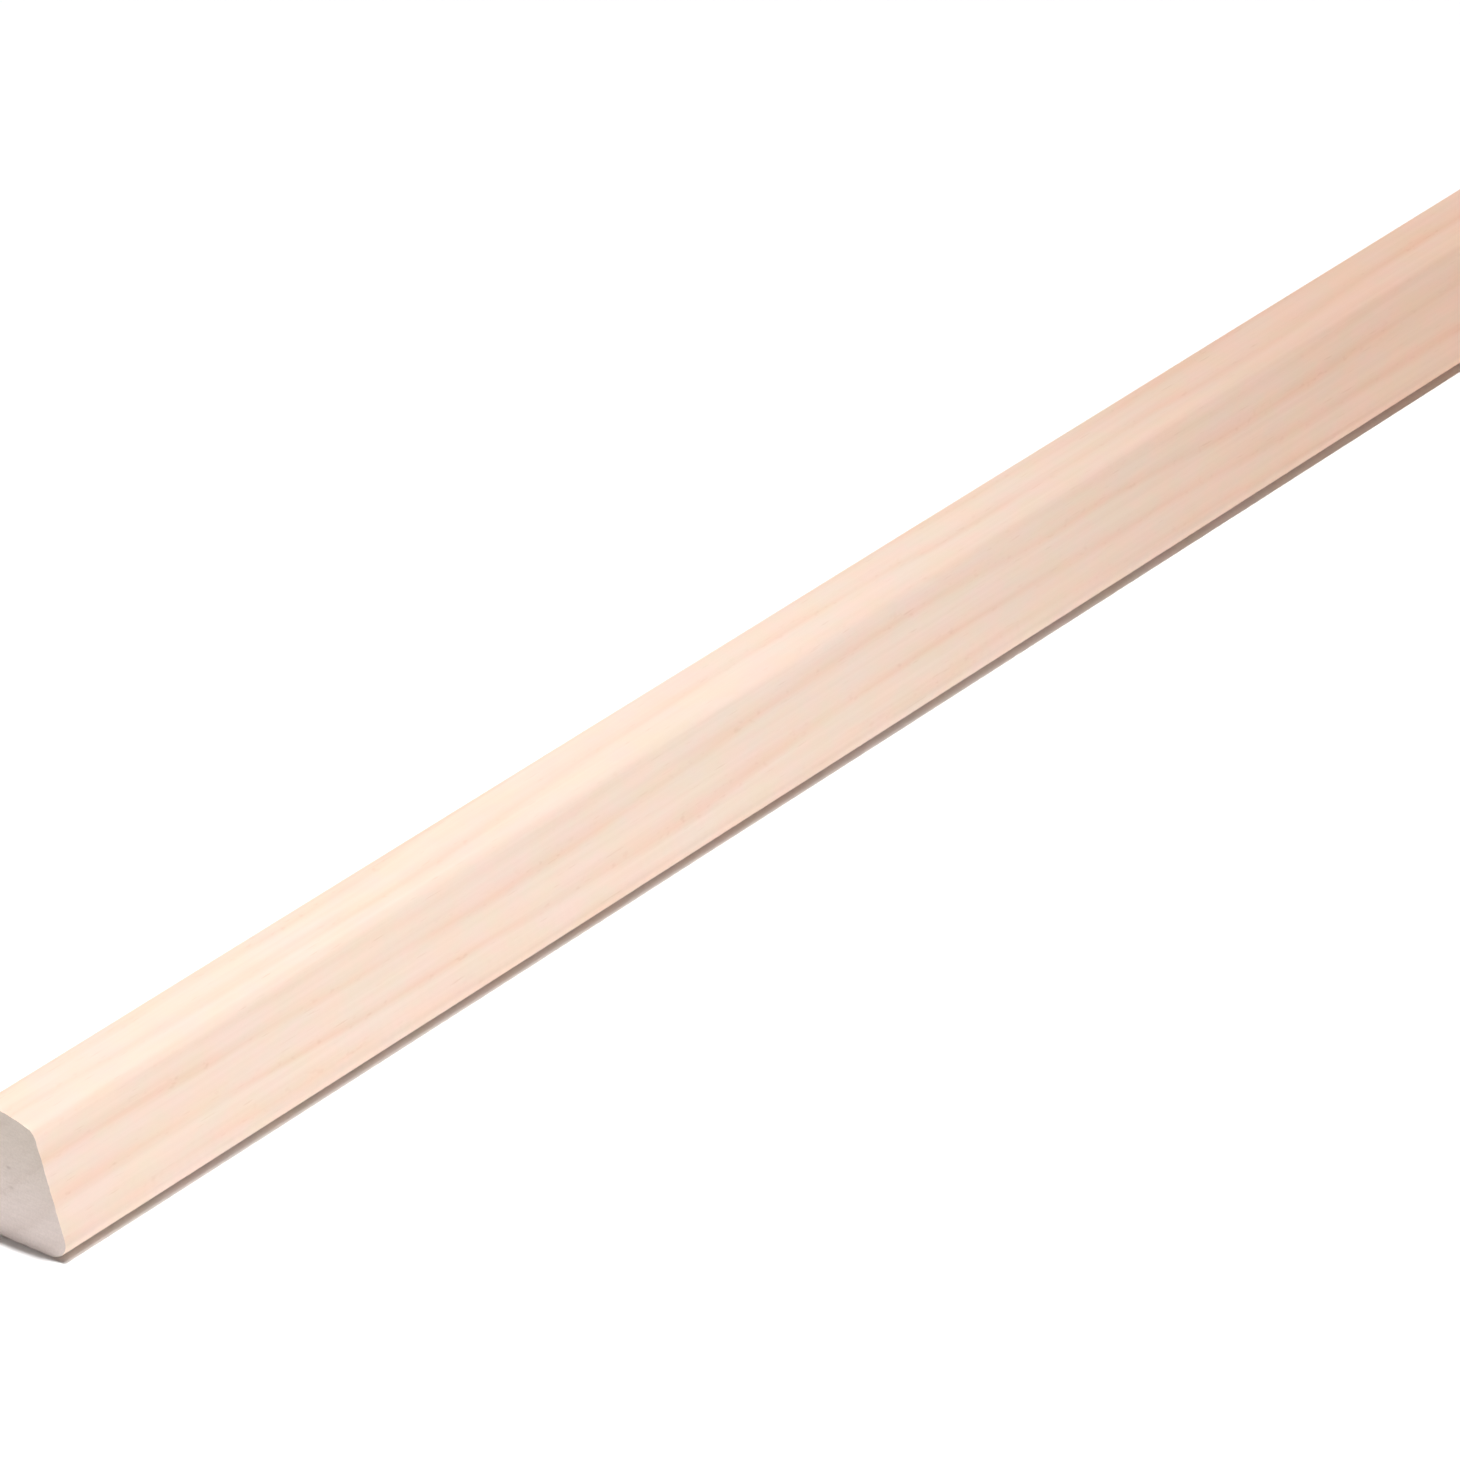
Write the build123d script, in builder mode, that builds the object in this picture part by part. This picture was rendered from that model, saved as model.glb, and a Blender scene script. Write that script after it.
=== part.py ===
"""Shoe moulding: one straight stick of bare wood with a moulded section, the same from end to end.

The stick stands on its floor face, with its length along X, its wall face at +Y and its moulded front at -Y.
Lengths are in millimetres and angles in degrees.
"""
import os

from build123d import *

# Overall size of the stick
LENGTH = 2438.4
DEPTH = 12.7
HEIGHT = 19.05

# Moulded front, from the floor up
TOE_RADIUS = 2.5
FRONT_LEAN = 18.0
SHOULDER_RADIUS = 2.5
TOP_SLOPE = 12.0

# Eased corners at the wall
ARRIS_RADIUS = 0.3

os.makedirs("parts", exist_ok=True)

wall_y = DEPTH / 2
toe_y = TOE_RADIUS - DEPTH / 2

with BuildPart() as shoe_moulding:
    with BuildSketch(Plane.YZ) as section:
        with BuildLine():
            floor_line = Line((wall_y, 0), (toe_y, 0))
            # The toe turns up from the floor until it leans back as the front does
            toe = JernArc(floor_line @ 1, floor_line % 1, TOE_RADIUS, -(90 + FRONT_LEAN))
            wall_line = Line((wall_y, 0), (wall_y, HEIGHT - ARRIS_RADIUS))
            # The eased corner at the top of the wall face turns over into the sloping top
            top_arris = JernArc(wall_line @ 1, wall_line % 1, ARRIS_RADIUS, 90 + TOP_SLOPE)
            # The flat front goes on from the toe, and the top comes down to meet it at the shoulder
            front_guide = PolarLine(toe @ 1, HEIGHT, direction=toe % 1, mode=Mode.PRIVATE)
            top_line = IntersectingLine(top_arris @ 1, top_arris % 1, front_guide)
            Line(toe @ 1, top_line @ 1)
        make_face()
        fillet(section.vertices().sort_by_distance(top_line @ 1)[0], SHOULDER_RADIUS)
        fillet(section.vertices().sort_by_distance(wall_line @ 0)[0], ARRIS_RADIUS)
    extrude(amount=LENGTH / 2, both=True)

shoe_moulding.part.label = "shoe_moulding"
export_step(shoe_moulding.part, "parts/shoe_moulding.step")
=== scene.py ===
"""Shoe moulding: the finished look of one straight stick of bare planed wood with two sawn ends.

Lengths are in metres and angles in degrees, unless a name says otherwise. The frame is the part's own:
X runs along the stick, +Y points out of its wall face and +Z up from its floor face.
"""
import logging
import math
from collections.abc import Sequence
from dataclasses import dataclass, field
from enum import IntEnum

import bpy
import numpy as np
from mathutils import Matrix, Vector


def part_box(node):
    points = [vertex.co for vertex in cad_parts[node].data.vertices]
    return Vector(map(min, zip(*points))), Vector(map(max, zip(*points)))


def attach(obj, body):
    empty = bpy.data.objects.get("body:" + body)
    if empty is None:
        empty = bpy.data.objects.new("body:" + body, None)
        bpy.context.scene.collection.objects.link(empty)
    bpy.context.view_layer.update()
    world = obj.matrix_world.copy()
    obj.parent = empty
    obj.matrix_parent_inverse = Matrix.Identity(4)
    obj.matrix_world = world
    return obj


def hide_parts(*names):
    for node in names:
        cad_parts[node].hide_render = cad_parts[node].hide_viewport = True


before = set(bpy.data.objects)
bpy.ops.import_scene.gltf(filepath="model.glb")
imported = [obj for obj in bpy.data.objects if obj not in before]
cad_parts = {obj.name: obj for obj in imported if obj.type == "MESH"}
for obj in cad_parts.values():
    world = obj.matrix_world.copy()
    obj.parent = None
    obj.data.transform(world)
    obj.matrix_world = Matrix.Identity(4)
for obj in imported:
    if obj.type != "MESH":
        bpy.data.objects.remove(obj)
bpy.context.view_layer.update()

Pair = tuple[float, float]
Triple = tuple[float, float, float]
Colour = Triple
Socket = bpy.types.NodeSocket
Feed = Socket | float | Triple

SEED = 1907
FULL_TURN = 2 * math.pi
NOISE_MEAN = 0.5
# A tint that changes nothing.
PLAIN: Colour = (1.0, 1.0, 1.0)
# A share of a length that is lost only to rounding.
ROUNDING = 1e-9

log = logging.getLogger("shoe_moulding")


class Cut(IntEnum):
    """How a face of the stick was cut, which is also its material's place on the mesh."""

    PLANED = 0
    SAWN = 1


class Detail(IntEnum):
    """How many finer layers a noise has."""

    COARSE = 1
    COMMON = 2
    FINE = 3


def swell(phase: np.ndarray) -> np.ndarray:
    """Gives an even wave from 0 to 1, half of one plus the sine of its phase."""
    return (1 + np.sin(phase)) / 2


class NodeSheet:
    """The node tree of one material, with a short way to add nodes and to join them."""

    # A Mix node has sockets for each kind of value, and these are the places of those that mix colours.
    MIX_SHARE = 0
    MIX_LOW = 6
    MIX_HIGH = 7
    MIX_RESULT = 2

    def __init__(self, name: str) -> None:
        """Makes an empty material.

        Args:
            name: the material's name.
        """
        self.material = bpy.data.materials.new(name)
        self.material.use_nodes = True
        self.tree = self.material.node_tree
        self.tree.nodes.clear()

    def add(self, kind: str, **settings: object) -> bpy.types.Node:
        """Adds a node.

        Args:
            kind: the node's type, without the ShaderNode that it starts with.
            settings: values of the node's own properties.

        Returns:
            The new node.
        """
        node = self.tree.nodes.new("ShaderNode" + kind)
        for name, value in settings.items():
            setattr(node, name, value)
        return node

    def feed(self, socket: Socket, value: Feed) -> None:
        """Joins a socket to another one, or sets it to a fixed value.

        Args:
            socket: the input to feed.
            value: an output socket, a number, a vector or a colour.
        """
        if isinstance(value, Socket):
            self.tree.links.new(value, socket)
        elif socket.type == "RGBA":
            socket.default_value = (*value, 1.0)
        else:
            socket.default_value = value

    def place(self) -> Socket:
        """Adds the place of each point on the object, a vector in metres."""
        return self.add("TexCoord").outputs["Object"]

    def axes(self, place: Socket) -> tuple[Socket, Socket, Socket]:
        """Splits a place into its X, Y and Z.

        Args:
            place: a vector.

        Returns:
            The three sockets.
        """
        node = self.add("SeparateXYZ")
        self.feed(node.inputs[0], place)
        return tuple(node.outputs)

    def math(self, kind: str, *values: Feed) -> Socket:
        """Adds one step of arithmetic.

        Args:
            kind: the operation, such as ADD or SINE.
            values: its inputs in order.

        Returns:
            The result's socket.
        """
        node = self.add("Math", operation=kind)
        for socket, value in zip(node.inputs, values):
            self.feed(socket, value)
        return node.outputs[0]

    def square(self, value: Feed) -> Socket:
        """Multiplies a number by itself."""
        return self.math("POWER", value, 2.0)

    def scaled(self, place: Socket, grain: Triple) -> Socket:
        """Divides a place by the size that a pattern has along each axis.

        Args:
            place: a vector in metres.
            grain: the pattern's size along X, Y and Z, in metres.

        Returns:
            The place counted in pattern sizes.
        """
        node = self.add("VectorMath", operation="DIVIDE")
        self.feed(node.inputs[0], place)
        self.feed(node.inputs[1], grain)
        return node.outputs[0]

    def noise(self, place: Socket, grain: Triple, detail: Detail = Detail.COMMON) -> Socket:
        """Adds soft noise, from 0 to 1 with its mean at one half.

        Args:
            place: a vector in metres.
            grain: the size of the noise's blotches along X, Y and Z, in metres.
            detail: how many finer layers it has.

        Returns:
            The noise's socket.
        """
        node = self.add("TexNoise")
        self.feed(node.inputs["Vector"], self.scaled(place, grain))
        self.feed(node.inputs["Scale"], 1.0)
        self.feed(node.inputs["Detail"], float(detail))
        return node.outputs["Fac"]

    def cells(self, place: Socket, grain: Triple) -> tuple[Socket, Socket]:
        """Adds a scatter of points, one to each cell.

        Args:
            place: a vector in metres.
            grain: the size of the cells along X, Y and Z, in metres.

        Returns:
            The sockets of the distance to the nearest point, in cells, and of that point's random colour.
        """
        node = self.add("TexVoronoi")
        self.feed(node.inputs["Vector"], self.scaled(place, grain))
        self.feed(node.inputs["Scale"], 1.0)
        return node.outputs["Distance"], node.outputs["Color"]

    def ease(self, value: Feed, limits: Pair, results: Pair = (0.0, 1.0)) -> Socket:
        """Maps a range of numbers onto another one, eased and kept within it.

        Args:
            value: the number to map.
            limits: the numbers that become the first and the second result.
            results: what they become.

        Returns:
            The mapped number's socket.
        """
        node = self.add("MapRange", interpolation_type="SMOOTHSTEP")
        for socket, number in zip(node.inputs, (value, *limits, *results)):
            self.feed(socket, number)
        return node.outputs[0]

    def ramp(self, value: Feed, stops: Sequence[Pair]) -> Socket:
        """Maps a number from 0 to 1 along a curve of straight lines.

        Args:
            value: the number to map.
            stops: the curve's points, each as a place and a level, in the order of their places.

        Returns:
            The level's socket.
        """
        node = self.add("ValToRGB")
        node.color_ramp.interpolation = "LINEAR"
        points = node.color_ramp.elements
        for place, _ in stops[len(points):]:
            points.new(place)
        for point, (place, level) in zip(points, stops):
            point.position = place
            point.color = (level, level, level, 1.0)
        self.feed(node.inputs[0], value)
        return node.outputs[0]

    def mix(self, share: Feed, low: Feed, high: Feed, kind: str = "MIX") -> Socket:
        """Mixes two colours.

        Args:
            share: how much of the second colour there is, from 0 to 1.
            low: the first colour.
            high: the second colour.
            kind: the way of mixing, such as MIX or MULTIPLY.

        Returns:
            The mixed colour's socket.
        """
        node = self.add("Mix", data_type="RGBA", blend_type=kind)
        self.feed(node.inputs[self.MIX_SHARE], share)
        self.feed(node.inputs[self.MIX_LOW], low)
        self.feed(node.inputs[self.MIX_HIGH], high)
        return node.outputs[self.MIX_RESULT]

    def tint(self, colour: Feed, share: Feed, low: Colour, high: Colour) -> Socket:
        """Multiplies a colour by a tint that runs from one colour to another.

        Args:
            colour: the colour to tint.
            share: how far the tint is towards its second colour, from 0 to 1.
            low: the tint's first colour.
            high: the tint's second colour.

        Returns:
            The tinted colour's socket.
        """
        return self.mix(1.0, colour, self.mix(share, low, high), "MULTIPLY")

    def surface(self, colour: Feed, roughness: Feed, gloss: float, height: Feed, relief: float) -> None:
        """Ends the tree in a rough surface with bumps.

        Args:
            colour: its colour.
            roughness: its roughness.
            gloss: the strength of its plain reflection, one half for common plastics.
            height: its bumps, from 0 to 1.
            relief: how high a bump of 1 stands, in metres.
        """
        bump = self.add("Bump")
        self.feed(bump.inputs["Distance"], relief)
        self.feed(bump.inputs["Height"], height)
        shader = self.add("BsdfPrincipled")
        self.feed(shader.inputs["Base Color"], colour)
        self.feed(shader.inputs["Roughness"], roughness)
        self.feed(shader.inputs["Specular IOR Level"], gloss)
        self.feed(shader.inputs["Normal"], bump.outputs[0])
        output = self.add("OutputMaterial")
        self.feed(output.inputs["Surface"], shader.outputs[0])


@dataclass(frozen=True)
class Growth:
    """The growth rings of the tree that the stick was cut from, round a pith beyond its top back corner.

    A ring's place is its distance from the pith, less a lift that swings slowly along the stick. The same
    formula serves the mesh and the materials, so the sides' streaks run on as rings across the ends.
    """

    start: float
    pith_y: float = 0.0446
    pith_z: float = 0.0496
    rings: tuple[Pair, ...] = (
        (0.0483, 0.7), (0.0522, 0.8), (0.0564, 0.4), (0.0595, 1.0), (0.0643, 1.0), (0.0681, 0.7))
    span: Pair = (0.046, 0.071)
    early_side: float = 0.0018
    turning_side: float = 0.0007
    turning_share: float = 0.5
    sharp_side: float = 0.0008
    lift: float = 0.00072
    lift_swing: float = 0.00020
    lift_spell: float = 1.5
    lift_crest: float = 0.15
    wave: float = 0.220
    drift: float = 1.3
    drift_spell: float = 1.27
    lag: float = 130.0
    lag_middle: float = 0.0615
    wobble: float = 0.0012
    wobble_grain: Triple = (0.040, 0.006, 0.006)

    def late_wood(self) -> np.ndarray:
        """Lists the points of the curve of late wood: each ring darkens slowly outwards and ends sharply.

        Returns:
            One row of place and share for each point, from the pith outwards.
        """
        place, share = np.array(self.rings).T
        none = np.zeros_like(share)
        places = [place - self.early_side, place - self.turning_side, place, place + self.sharp_side]
        shares = [none, self.turning_share * share, share, none]
        return np.stack([np.ravel(places, order="F"), np.ravel(shares, order="F")], axis=1)

    def late_share(self, x: np.ndarray, y: np.ndarray, z: np.ndarray) -> np.ndarray:
        """Works out how dark the late wood makes each point.

        The lift is its slowly changing half height times one less the cosine of a phase. The phase grows by
        a turn in each wave, drifts to and fro by a slow sine, and lags with the distance from the pith. That
        distance less the lift is looked up on the curve of late wood.

        Args:
            x: places along the stick.
            y: places across it.
            z: places above the floor.

        Returns:
            A share from 0 to 1 for each point.
        """
        along = x - self.start
        reach = np.hypot(y - self.pith_y, z - self.pith_z)
        swing = np.cos(FULL_TURN * (along - self.lift_crest) / self.lift_spell)
        half = self.lift + self.lift_swing * swing
        phase = FULL_TURN * along / self.wave + self.drift * np.sin(FULL_TURN * along / self.drift_spell)
        phase = phase - self.lag * (reach - self.lag_middle)
        return np.interp(reach - half * (1 - np.cos(phase)), *self.late_wood().T)

    def nodes(self, sheet: NodeSheet, place: Socket) -> Socket:
        """Adds the formula of late_share to a material, with a small wobble of each line.

        Args:
            sheet: the material's sheet.
            place: the place on the object, in metres.

        Returns:
            The socket of the share of late wood.
        """
        x, y, z = sheet.axes(place)
        along = sheet.math("SUBTRACT", x, self.start)
        across = sheet.square(sheet.math("SUBTRACT", y, self.pith_y))
        above = sheet.square(sheet.math("SUBTRACT", z, self.pith_z))
        reach = sheet.math("SQRT", sheet.math("ADD", across, above))
        crest = sheet.math("SUBTRACT", along, self.lift_crest)
        swing = sheet.math("COSINE", sheet.math("MULTIPLY", crest, FULL_TURN / self.lift_spell))
        half = sheet.math("MULTIPLY_ADD", swing, self.lift_swing, self.lift)
        drift = sheet.math("SINE", sheet.math("MULTIPLY", along, FULL_TURN / self.drift_spell))
        turns = sheet.math("MULTIPLY", along, FULL_TURN / self.wave)
        phase = sheet.math("MULTIPLY_ADD", drift, self.drift, turns)
        behind = sheet.math("SUBTRACT", reach, self.lag_middle)
        phase = sheet.math("MULTIPLY_ADD", behind, -self.lag, phase)
        lift = sheet.math("MULTIPLY", half, sheet.math("SUBTRACT", 1.0, sheet.math("COSINE", phase)))
        wobble = sheet.math("SUBTRACT", sheet.noise(place, self.wobble_grain), NOISE_MEAN)
        ring = sheet.math("SUBTRACT", reach, lift)
        ring = sheet.math("MULTIPLY_ADD", wobble, self.wobble / NOISE_MEAN, ring)
        low, high = self.span
        stops = [((spot - low) / (high - low), share) for spot, share in self.late_wood()]
        return sheet.ramp(sheet.math("DIVIDE", sheet.math("SUBTRACT", ring, low), high - low), stops)


@dataclass(frozen=True)
class PlanedWood:
    """Bare wood off the planer: pale, with broken peach streaks of late wood, soft mottling and fine fibres.

    Its warmth swings slowly along the stick, partly as grain tone and partly as painted highlight: the
    stretch at the near end is painted pale and cream as if brightly lit. The front below the shoulder is
    painted paler than the top, a painted light and shade. Each tint multiplies the colour where its own
    pattern is strong.
    """

    early_colour: Colour = (0.806, 0.643, 0.543)
    late_colour: Colour = (0.784, 0.574, 0.460)
    streak_grain: Triple = (0.030, 0.004, 0.004)
    streak_limits: Pair = (0.35, 0.65)
    streak_shares: Pair = (0.60, 1.15)
    # Partly grain tone, partly painted highlight: the warm tint is left off at the near end, which is
    # painted pale and cream as if brightly lit, and again once each spell along the stick.
    warm_tint: Colour = (0.998, 0.870, 0.807)
    painted_highlight_spell: float = 1.4
    painted_highlight_limits: Pair = (0.80, 0.15)
    # Painted light and shade: the front below the shoulder is painted paler and the top darker, standing in
    # for how the lamps fall on them.
    painted_light_low_tint: Colour = (1.060, 1.060, 1.060)
    painted_shade_high_tint: Colour = (0.975, 0.975, 0.975)
    painted_shade_limits: Pair = (0.0158, 0.0180)
    cream_tint: Colour = (0.998, 1.003, 0.994)
    rose_tint: Colour = (1.002, 0.992, 0.993)
    figure_grain: Triple = (0.12, 0.005, 0.005)
    figure_limits: Pair = (0.35, 0.65)
    green_mottle: Colour = (0.975, 1.011, 0.997)
    pink_mottle: Colour = (1.016, 0.986, 0.993)
    mottle_grain: Triple = (0.006, 0.0027, 0.0027)
    straw_mottle: Colour = (1.003, 1.002, 0.972)
    lilac_mottle: Colour = (0.998, 0.998, 1.022)
    straw_grain: Triple = (0.008, 0.0035, 0.0035)
    mottle_limits: Pair = (0.3, 0.7)
    fibre_light: Colour = (1.015, 1.020, 1.025)
    fibre_dark: Colour = (0.985, 0.975, 0.965)
    fibre_grain: Triple = (0.05, 0.0006, 0.0006)
    fibre_limits: Pair = (0.25, 0.75)
    fleck_tint: Colour = (0.88, 0.80, 0.74)
    fleck_grain: Triple = (0.005, 0.00025, 0.00025)
    fleck_limits: Pair = (0.70, 0.78)
    fleck_share: float = 0.5
    dot_grain: Triple = (0.0015, 0.0007, 0.0007)
    dot_limits: Pair = (0.60, 0.76)
    dot_share: float = 0.45
    roughness: Pair = (0.50, 0.66)
    rough_limits: Pair = (0.2, 0.8)
    gloss: float = 0.3
    knife_pitch: float = 0.0017
    knife_share: float = 0.12
    relief: float = 0.000012

    def material(self, growth: Growth) -> bpy.types.Material:
        """Makes the material.

        Args:
            growth: the rings that its streaks follow.

        Returns:
            The material.
        """
        sheet = NodeSheet("planed_wood")
        place = sheet.place()
        x, _, z = sheet.axes(place)
        streak = sheet.noise(place, self.streak_grain, Detail.COARSE)
        streak = sheet.ease(streak, self.streak_limits, self.streak_shares)
        late = sheet.math("MULTIPLY", growth.nodes(sheet, place), streak)
        colour = sheet.mix(late, self.early_colour, self.late_colour)
        # Painted highlight, partly grain tone: pale at the near end and warmer further along, swinging with
        # the spell.
        along = sheet.math("SUBTRACT", x, growth.start)
        swing = sheet.math("COSINE", sheet.math("MULTIPLY", along, FULL_TURN / self.painted_highlight_spell))
        colour = sheet.tint(colour, sheet.ease(swing, self.painted_highlight_limits), PLAIN, self.warm_tint)
        # Painted light and shade: paler on the front and darker on the top, by height across the shoulder.
        painted_shade_share = sheet.ease(z, self.painted_shade_limits)
        colour = sheet.tint(colour, painted_shade_share, self.painted_light_low_tint, self.painted_shade_high_tint)
        figure = sheet.ease(sheet.noise(place, self.figure_grain), self.figure_limits)
        colour = sheet.tint(colour, figure, self.cream_tint, self.rose_tint)
        mottle = sheet.ease(sheet.noise(place, self.mottle_grain), self.mottle_limits)
        colour = sheet.tint(colour, mottle, self.green_mottle, self.pink_mottle)
        straw = sheet.ease(sheet.noise(place, self.straw_grain), self.mottle_limits)
        colour = sheet.tint(colour, straw, self.straw_mottle, self.lilac_mottle)
        fibre = sheet.noise(place, self.fibre_grain, Detail.FINE)
        thread = sheet.ease(fibre, self.fibre_limits)
        colour = sheet.tint(colour, thread, self.fibre_dark, self.fibre_light)
        fleck = sheet.noise(place, self.fleck_grain, Detail.COARSE)
        fleck = sheet.ease(fleck, self.fleck_limits, (0.0, self.fleck_share))
        colour = sheet.tint(colour, fleck, PLAIN, self.fleck_tint)
        dot = sheet.noise(place, self.dot_grain, Detail.COARSE)
        dot = sheet.ease(dot, self.dot_limits, (0.0, self.dot_share))
        colour = sheet.tint(colour, sheet.math("MULTIPLY", dot, late), PLAIN, self.fleck_tint)
        roughness = sheet.ease(fibre, self.rough_limits, self.roughness)
        knife = sheet.math("SINE", sheet.math("MULTIPLY", x, FULL_TURN / self.knife_pitch))
        height = sheet.math("MULTIPLY_ADD", knife, self.knife_share, fibre)
        sheet.surface(colour, roughness, self.gloss, height, self.relief)
        return sheet.material


@dataclass(frozen=True)
class SawnWood:
    """Bare end grain off the saw: greyer than the sides, with faint rings, saw marks and dark specks, and
    painted paler towards the bottom and darker towards the top as painted light and shade.
    """

    early_colour: Colour = (0.660, 0.567, 0.516)
    late_colour: Colour = (0.634, 0.538, 0.486)
    # Painted light and shade: the end is painted paler low down, standing in for light from the floor, and
    # darker high up.
    painted_light_low_tint: Colour = (1.060, 1.060, 1.090)
    painted_shade_high_tint: Colour = (0.930, 0.935, 0.910)
    painted_shade_limits: Pair = (0.002, 0.017)
    pore_light: Colour = (1.03, 1.03, 1.03)
    pore_dark: Colour = (0.965, 0.96, 0.955)
    pore_grain: Triple = (0.004, 0.0003, 0.0003)
    scratch_light: Colour = (1.015, 1.015, 1.015)
    scratch_dark: Colour = (0.98, 0.98, 0.98)
    scratch_grain: Triple = (0.01, 0.009, 0.00045)
    mark_limits: Pair = (0.3, 0.7)
    speck_colour: Colour = (0.430, 0.345, 0.310)
    speck_grain: Triple = (10.0, 0.0038, 0.0026)
    speck_limits: Pair = (0.45, 0.60)
    speck_reach: float = 0.17
    speck_share: float = 0.6
    roughness: Pair = (0.72, 0.88)
    rough_limits: Pair = (0.2, 0.8)
    gloss: float = 0.2
    relief: float = 0.00004

    def material(self, growth: Growth) -> bpy.types.Material:
        """Makes the material.

        Args:
            growth: the rings that it is cut across.

        Returns:
            The material.
        """
        sheet = NodeSheet("sawn_wood")
        place = sheet.place()
        _, _, z = sheet.axes(place)
        colour = sheet.mix(growth.nodes(sheet, place), self.early_colour, self.late_colour)
        # Painted light and shade: paler towards the bottom of the end and darker towards the top.
        painted_shade_share = sheet.ease(z, self.painted_shade_limits)
        colour = sheet.tint(colour, painted_shade_share, self.painted_light_low_tint, self.painted_shade_high_tint)
        pore = sheet.noise(place, self.pore_grain)
        colour = sheet.tint(colour, sheet.ease(pore, self.mark_limits), self.pore_dark, self.pore_light)
        scratch = sheet.noise(place, self.scratch_grain)
        mark = sheet.ease(scratch, self.mark_limits)
        colour = sheet.tint(colour, mark, self.scratch_dark, self.scratch_light)
        away, chance = sheet.cells(place, self.speck_grain)
        wanted = sheet.ease(chance, self.speck_limits, (0.0, self.speck_share))
        speck = sheet.ease(away, (0.0, self.speck_reach), (1.0, 0.0))
        speck = sheet.math("MULTIPLY", speck, wanted)
        colour = sheet.mix(speck, colour, self.speck_colour)
        roughness = sheet.ease(pore, self.rough_limits, self.roughness)
        height = sheet.math("SUBTRACT", sheet.math("ADD", pore, scratch), speck)
        sheet.surface(colour, roughness, self.gloss, height, self.relief)
        return sheet.material


@dataclass(frozen=True)
class Section:
    """The stick's section: four flats that meet in four rounded corners, in Y and Z.

    The corners and flats are counted round from the top of the wall face: arris, top, shoulder, front, toe,
    floor, arris and wall.
    """

    depth: float
    height: float
    toe_radius: float = 0.0025
    front_lean: float = 18.0
    shoulder_radius: float = 0.0025
    top_slope: float = 12.0
    arris_radius: float = 0.0003
    corner_steps: tuple[int, ...] = (7, 14, 20, 6)
    flat_steps: tuple[int, ...] = (13, 28, 16, 22)

    def facings(self) -> np.ndarray:
        """Gives the outward angles of wall, top, front, floor and wall again, in radians from +Y to +Z."""
        return np.radians([0.0, 90.0 + self.top_slope, 180.0 - self.front_lean, 270.0, 360.0])

    def centres(self) -> np.ndarray:
        """Works out the centres of the four corners.

        The arrises touch the wall, the floor and the stick's height, and the toe touches the floor and the
        stick's depth. The shoulder's centre lies its radius inside both the top's line and the front's line.

        Returns:
            One row of Y and Z for each corner.
        """
        wall = self.depth / 2 - self.arris_radius
        top_arris = np.array([wall, self.height - self.arris_radius])
        floor_arris = np.array([wall, self.arris_radius])
        toe = np.array([self.toe_radius - self.depth / 2, self.toe_radius])
        angles = self.facings()[1:3]
        lines = np.stack([np.cos(angles), np.sin(angles)], axis=1)
        reach = np.array([lines[0] @ top_arris + self.arris_radius, lines[1] @ toe + self.toe_radius])
        shoulder = np.linalg.solve(lines, reach - self.shoulder_radius)
        return np.stack([top_arris, shoulder, toe, floor_arris])

    def outline(self) -> tuple[np.ndarray, np.ndarray]:
        """Works out the closed outline.

        A corner's point is its centre plus its radius along the outward angle, which turns evenly from one
        flat to the next. A flat's points lie evenly between the corners at its ends, with its own angle.

        Returns:
            The points, and the outward angle at each, without the first point again at the end.
        """
        facings = self.facings()
        centres = self.centres()
        radii = np.array([self.arris_radius, self.shoulder_radius, self.toe_radius, self.arris_radius])
        follow = np.roll(np.arange(len(centres)), -1)
        turns = [np.linspace(facings[k], facings[k + 1], n + 1) for k, n in enumerate(self.corner_steps)]
        shares = [np.linspace(0, 1, n + 1)[1:-1] for n in self.flat_steps]
        flats = [np.full(len(part), facing) for part, facing in zip(shares, facings[1:])]
        angles = np.concatenate([part for pair in zip(turns, flats) for part in pair])
        starts = [np.zeros(len(turn)) for turn in turns]
        share = np.concatenate([part for pair in zip(starts, shares) for part in pair])
        counts = [len(turn) + len(flat) for turn, flat in zip(turns, flats)]
        corner = np.repeat(np.arange(len(centres)), counts)
        outward = np.stack([np.cos(angles), np.sin(angles)], axis=1)
        near = centres[corner] + radii[corner, None] * outward
        far = centres[follow[corner]] + radii[follow[corner], None] * outward
        return near + share[:, None] * (far - near), angles


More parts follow.
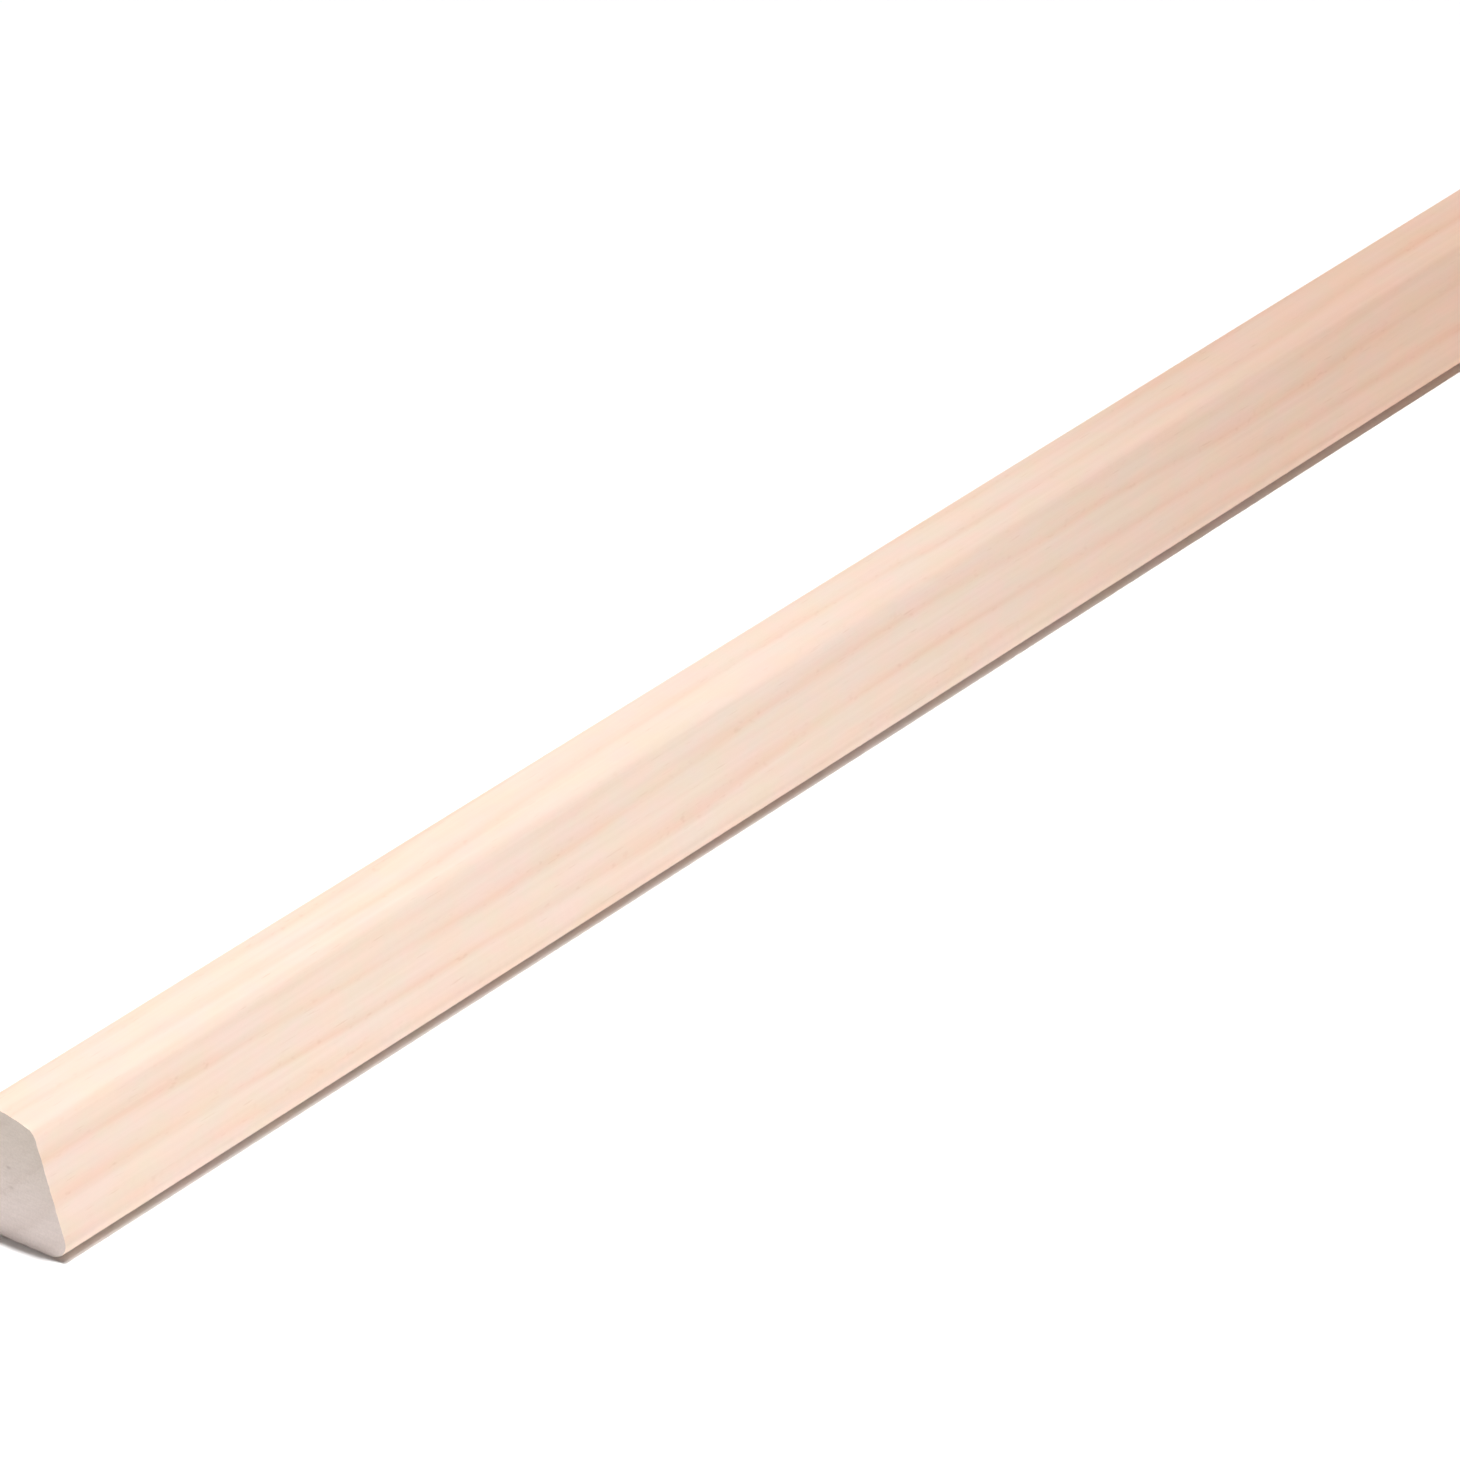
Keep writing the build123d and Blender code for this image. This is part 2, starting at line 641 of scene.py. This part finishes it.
@dataclass
class MouldedStick:
    """The stick: one closed skin round the section from end to end, with planed sides and two sawn ends."""

    length: float
    section: Section
    growth: Growth
    planed: PlanedWood = field(default_factory=PlanedWood)
    sawn: SawnWood = field(default_factory=SawnWood)
    stations: int = 601
    crowding: float = 0.97
    end_rings: int = 22
    sharp_angle: float = 40.0
    grain_relief: float = 0.000012
    feed_relief: float = 0.000012
    feed_wave: float = 0.071
    rim_wear: float = 0.00022
    rim_reach: float = 0.00025
    saw_relief: float = 0.00002
    saw_pitch: float = 0.0013
    saw_centre: Pair = (0.060, 0.150)
    map_strips: int = 3
    map_margin: float = 0.008
    map_end_height: float = 0.20

    def rows(self) -> tuple[np.ndarray, np.ndarray]:
        """Lays out the rows of the skin: out over the first end, along the sides and in over the other end.

        On a side, the place along the stick is an even count plus a share of its sine, which crowds the rows
        towards the ends. On an end, the section shrinks evenly towards its middle.

        Returns:
            Each row's place along X, and the size of its section as a share of the full one.
        """
        count = np.linspace(-1, 1, self.stations)
        side = self.length / 2 * (count + self.crowding * np.sin(np.pi * count) / np.pi)
        shrink = np.arange(1, self.end_rings + 1) / (self.end_rings + 1)
        end = np.full(self.end_rings, self.length / 2)
        sizes = np.concatenate([shrink, np.ones_like(side), shrink[::-1]])
        return np.concatenate([-end, side, end]), sizes

    def wear(self, columns: int) -> np.ndarray:
        """Draws how far each point of an end's rim is worn.

        Each point's chance is averaged with those of its neighbours, itself counted twice, and squared.

        Args:
            columns: the number of points round the section.

        Returns:
            A share from 0 to 1 for each point.
        """
        drawn = np.random.default_rng(SEED).random(columns)
        smooth = (np.roll(drawn, 1) + 2 * drawn + np.roll(drawn, -1)) / 4
        return smooth ** 2

    def skin(self) -> np.ndarray:
        """Works out the points of the skin, row by row.

        A point of a side lies on the outline, set in by the relief: the wood between the dark lines is
        lower, the planer's feed leaves long low waves, and the rim of each end is worn by an amount that
        dies away from it. A point of an end is set in along X by the saw marks, which are rings round the
        saw's far centre.

        Returns:
            An array of rows, columns and X, Y and Z.
        """
        x, size = self.rows()
        outline, angles = self.section.outline()
        middle = outline.mean(axis=0)
        x = np.repeat(x[:, None], len(outline), axis=1)
        early = 1 - self.growth.late_share(x, outline[:, 0], outline[:, 1])
        feed = swell(FULL_TURN * x / self.feed_wave + angles)
        edge = np.exp((np.abs(x) - self.length / 2) / self.rim_reach) * self.wear(len(outline))
        inset = self.grain_relief * early + self.feed_relief * feed + self.rim_wear * edge
        outward = np.stack([np.cos(angles), np.sin(angles)], axis=1)
        rim = outline - inset[:, :, None] * outward
        across = middle + size[:, None, None] * (rim - middle)
        reach = np.hypot(across[:, :, 0] - self.saw_centre[0], across[:, :, 1] - self.saw_centre[1])
        saw = self.saw_relief * swell(FULL_TURN * reach / self.saw_pitch)
        on_end = np.abs(x) > self.length / 2 * (1 - ROUNDING)
        x = np.where(on_end, np.sign(x) * (self.length / 2 - saw), x)
        return np.concatenate([x[:, :, None], across], axis=2)

    def side_map(self, skin: np.ndarray, row: np.ndarray, column: np.ndarray) -> np.ndarray:
        """Lays the sides out flat, in strips that fill the lower part of a unit square.

        A strip holds an equal run of side rows, with X across and the way round the section upwards.

        Args:
            skin: the skin's points.
            row: each corner's row, one line for each face.
            column: each corner's column, counted on past the last one where a face closes the section.

        Returns:
            The place of each corner on the map, which has no meaning on an end.
        """
        outline, _ = self.section.outline()
        steps = np.roll(outline, -1, axis=0) - outline
        girth = np.append(0, np.cumsum(np.hypot(*steps.T)))
        last = self.end_rings + self.stations - 1
        bounds = np.linspace(self.end_rings, last, self.map_strips + 1).astype(int)
        strip = np.searchsorted(bounds, row.min(axis=1), side="right") - 1
        strip = np.clip(strip, 0, self.map_strips - 1)[:, None]
        ends = skin[bounds, 0, 0]
        x = skin[row, column % len(outline), 0]
        share = (x - ends[strip]) / (ends[strip + 1] - ends[strip])
        margin = self.map_margin
        height = (1 - self.map_end_height - (self.map_strips + 2) * margin) / self.map_strips
        u = margin + (1 - 2 * margin) * share
        v = margin + strip * (height + margin) + height * girth[column] / girth[-1]
        return np.stack([u, v], axis=2)

    def end_map(self, points: np.ndarray) -> np.ndarray:
        """Lays the ends out flat, as two upright pictures side by side along the top of a unit square.

        A place is Y and Z times one scale, with the far end moved over by the depth and a margin.

        Args:
            points: the corners of each face.

        Returns:
            The place of each corner on the map.
        """
        scale = self.map_end_height / self.section.height
        far_end = points[:, :1, 0] > 0
        slot = self.map_margin + far_end * (self.section.depth * scale + self.map_margin)
        u = slot + scale * (points[:, :, 1] + self.section.depth / 2)
        v = 1 - self.map_margin - self.map_end_height + scale * points[:, :, 2]
        return np.stack([u, v], axis=2)

    def fans(self, rows: int, columns: int) -> np.ndarray:
        """Lists the triangles round the middle point of each end. Both points come after the skin's own.

        Args:
            rows: the number of the skin's rows.
            columns: the number of points in a row.

        Returns:
            Three points for each triangle, the first end's triangles before the other's.
        """
        column = np.arange(columns)
        follow = np.roll(column, -1)
        middle = np.full(columns, rows * columns)
        last_row = (rows - 1) * columns
        first_fan = np.stack([middle, follow, column], axis=1)
        last_fan = np.stack([middle + 1, last_row + column, last_row + follow], axis=1)
        return np.concatenate([first_fan, last_fan])

    def mesh(self) -> bpy.types.Mesh:
        """Makes the mesh: a face between each two rows and columns, and a fan in the middle of each end.

        Returns:
            The mesh, with its two materials' places, its sharp rims and its map.
        """
        skin = self.skin()
        rows, columns = skin.shape[:2]
        row, column = np.indices((rows - 1, columns)).reshape(2, -1)
        quad_row = np.stack([row, row, row + 1, row + 1], axis=1)
        quad_column = np.stack([column, column + 1, column + 1, column], axis=1)
        quads = quad_row * columns + quad_column % columns
        fans = self.fans(rows, columns)
        points = np.concatenate([skin.reshape(-1, 3), skin[[0, -1]].mean(axis=1)])
        loops = np.concatenate([quads.ravel(), fans.ravel()])
        quad_starts = np.arange(0, quads.size, quads.shape[1])
        fan_starts = quads.size + np.arange(0, fans.size, fans.shape[1])
        starts = np.concatenate([quad_starts, fan_starts])
        sawn = (row < self.end_rings) | (row >= self.end_rings + self.stations - 1)
        cuts = np.concatenate([np.where(sawn, Cut.SAWN, Cut.PLANED), np.full(len(fans), Cut.SAWN)])

        mesh = bpy.data.meshes.new("shoe_moulding_stick")
        mesh.vertices.add(len(points))
        mesh.vertices.foreach_set("co", points.astype(np.float32).ravel())
        mesh.loops.add(len(loops))
        mesh.loops.foreach_set("vertex_index", loops.astype(np.int32))
        mesh.polygons.add(len(starts))
        mesh.polygons.foreach_set("loop_start", starts.astype(np.int32))
        mesh.polygons.foreach_set("material_index", cuts.astype(np.int32))
        mesh.update(calc_edges=True)
        mesh.shade_smooth()
        mesh.set_sharp_from_angle(angle=math.radians(self.sharp_angle))

        sides = self.side_map(skin, quad_row, quad_column)
        quad_map = np.where(sawn[:, None, None], self.end_map(points[quads]), sides)
        fan_map = self.end_map(points[fans])
        places = np.concatenate([quad_map.reshape(-1, 2), fan_map.reshape(-1, 2)])
        layer = mesh.uv_layers.new(name="OFBake")
        layer.uv.foreach_set("vector", places.astype(np.float32).ravel())
        return mesh

    def build(self) -> bpy.types.Object:
        """Builds the stick, dresses it and sets it in the frame.

        Returns:
            The stick's object.
        """
        mesh = self.mesh()
        mesh.materials.append(self.planed.material(self.growth))
        mesh.materials.append(self.sawn.material(self.growth))
        stick = bpy.data.objects.new("stick", mesh)
        bpy.context.scene.collection.objects.link(stick)
        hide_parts("shoe_moulding")
        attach(stick, "root")
        return stick


@dataclass(frozen=True)
class Viewpoint:
    """The camera's place, from how far off the stick's near toe corner is and its pixel in the picture."""

    azimuth: float = -52.62
    elevation: float = 28.68
    lens_mm: float = 259.9
    sensor_mm: float = 36.0
    distance: float = 1.3175
    picture_px: float = 1460.0
    corner_px: Pair = (66.35, 1263.09)

    def build(self, corner: Vector) -> bpy.types.Object:
        """Makes the camera and sets it as the scene's own.

        Args:
            corner: the near toe corner, at the front of the near end and on the floor.

        Returns:
            The camera's object.
        """
        turn, rise = math.radians(self.azimuth), math.radians(self.elevation)
        right = Vector((math.cos(turn), math.sin(turn), 0.0))
        back = Vector((math.sin(turn) * math.cos(rise), -math.cos(turn) * math.cos(rise), math.sin(rise)))
        up = back.cross(right)
        pixel = self.distance * self.sensor_mm / self.lens_mm / self.picture_px
        middle = self.picture_px / 2
        aside = (self.corner_px[0] - middle) * pixel
        above = (middle - self.corner_px[1]) * pixel
        place = corner - right * aside - up * above + back * self.distance
        data = bpy.data.cameras.new("camera")
        data.lens = self.lens_mm
        data.sensor_width = self.sensor_mm
        camera = bpy.data.objects.new("camera", data)
        camera.matrix_world = Matrix.Translation(place) @ Matrix((right, up, back)).transposed().to_4x4()
        bpy.context.scene.collection.objects.link(camera)
        bpy.context.scene.camera = camera
        return camera


@dataclass(frozen=True)
class Lamp:
    """A lamp so far off that it lights the whole stick evenly. Its turn is counted from straight down.

    Its strength is the light that falls on a surface square to it, and its width is the angle that it fills.
    """

    name: str
    strength: float
    turn: Triple
    width: float

    def data(self) -> bpy.types.Light:
        """Makes the lamp's data.

        Returns:
            The data of a lamp with no place of its own.
        """
        data = bpy.data.lights.new(self.name, "SUN")
        data.angle = math.radians(self.width)
        return data

    def build(self, corner: Vector) -> bpy.types.Object:
        """Makes the lamp and turns it to the stick.

        Args:
            corner: the stick's near toe corner.

        Returns:
            The lamp's object.
        """
        data = self.data()
        data.energy = self.strength
        lamp = bpy.data.objects.new(self.name, data)
        lamp.location = corner
        lamp.rotation_euler = [math.radians(angle) for angle in self.turn]
        bpy.context.scene.collection.objects.link(lamp)
        return lamp


@dataclass(frozen=True)
class SpotLamp(Lamp):
    """A lamp close to the stick, with a round beam that fades from its middle to its edge.

    Its strength is in watts, its width is its own size, and its place is counted from the near toe corner.
    """

    place: Triple = (0.0, 0.0, 0.8)
    beam: float = 50.0
    fade: float = 1.0

    def data(self) -> bpy.types.Light:
        """Makes the lamp's data.

        Returns:
            The data of a lamp with a beam.
        """
        data = bpy.data.lights.new(self.name, "SPOT")
        data.shadow_soft_size = self.width / 2
        data.spot_size = math.radians(self.beam)
        data.spot_blend = self.fade
        return data

    def build(self, corner: Vector) -> bpy.types.Object:
        """Makes the lamp and hangs it in its place, counted from the stick's near toe corner."""
        return super().build(corner + Vector(self.place))


@dataclass(frozen=True)
class Studio:
    """A plain pale floor under an even sky and a few soft lamps."""

    floor_reach: float = 90.0
    floor_colour: Colour = (0.97, 0.97, 0.97)
    floor_roughness: float = 0.9
    floor_gloss: float = 0.0
    sky_colour: Colour = (1.0, 1.0, 1.0)
    sky_strength: float = 0.02
    lamps: tuple[Lamp, ...] = (
        Lamp("overhead", 3.13, (-3.5, 5.5, 0.0), 5.0),
        Lamp("camera_fill", 1.27, (87.5, 0.0, -50.0), 4.0),
        Lamp("back_fill", 0.60, (79.0, 0.0, 150.0), 16.0),
        SpotLamp("near_lamp", 8.0, (8.5, 9.0, 0.0), 0.06, place=(0.075, -0.12, 0.8)),
    )

    def floor(self) -> bpy.types.Object:
        """Makes the floor, a square at the height of the stick's floor face, as part of the stage.

        Returns:
            The floor's object.
        """
        reach = self.floor_reach
        corners = [(-reach, -reach, 0), (reach, -reach, 0), (reach, reach, 0), (-reach, reach, 0)]
        mesh = bpy.data.meshes.new("floor")
        mesh.from_pydata(corners, [], [(0, 1, 2, 3)])
        sheet = NodeSheet("pale_floor")
        shader = sheet.add("BsdfPrincipled")
        sheet.feed(shader.inputs["Base Color"], self.floor_colour)
        sheet.feed(shader.inputs["Roughness"], self.floor_roughness)
        sheet.feed(shader.inputs["Specular IOR Level"], self.floor_gloss)
        sheet.feed(sheet.add("OutputMaterial").inputs["Surface"], shader.outputs[0])
        mesh.materials.append(sheet.material)
        floor = bpy.data.objects.new("floor", mesh)
        bpy.context.scene.collection.objects.link(floor)
        return floor

    def sky(self) -> bpy.types.World:
        """Makes the even sky, which looks white and lights the stick only weakly, as the scene's own.

        Returns:
            The world that holds it.
        """
        world = bpy.data.worlds.new("even_sky")
        world.use_nodes = True
        tree = world.node_tree
        background = tree.nodes["Background"]
        background.inputs["Color"].default_value = (*self.sky_colour, 1.0)
        strength = tree.nodes.new("ShaderNodeMath")
        strength.operation = "MAXIMUM"
        strength.inputs[1].default_value = self.sky_strength
        tree.links.new(tree.nodes.new("ShaderNodeLightPath").outputs["Is Camera Ray"], strength.inputs[0])
        tree.links.new(strength.outputs[0], background.inputs["Strength"])
        bpy.context.scene.world = world
        return world

    def build(self, corner: Vector) -> None:
        """Makes the floor and the lights, and shows the picture's colours as they are.

        Args:
            corner: the stick's near toe corner.
        """
        self.floor()
        self.sky()
        for lamp in self.lamps:
            lamp.build(corner)
        bpy.context.scene.view_settings.view_transform = "Standard"


def main() -> None:
    """Builds the stick, the studio and the camera."""
    logging.basicConfig(level=logging.INFO, format="%(message)s")
    low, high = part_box("shoe_moulding")
    size = high - low
    stick = MouldedStick(size.x, Section(size.y, size.z), Growth(low.x)).build()
    log.info("%s: %d faces", stick.name, len(stick.data.polygons))
    Studio().build(low)
    camera = Viewpoint().build(low)
    log.info("%s: lens %.1f mm", camera.name, camera.data.lens)


if __name__ == "__main__":
    main()
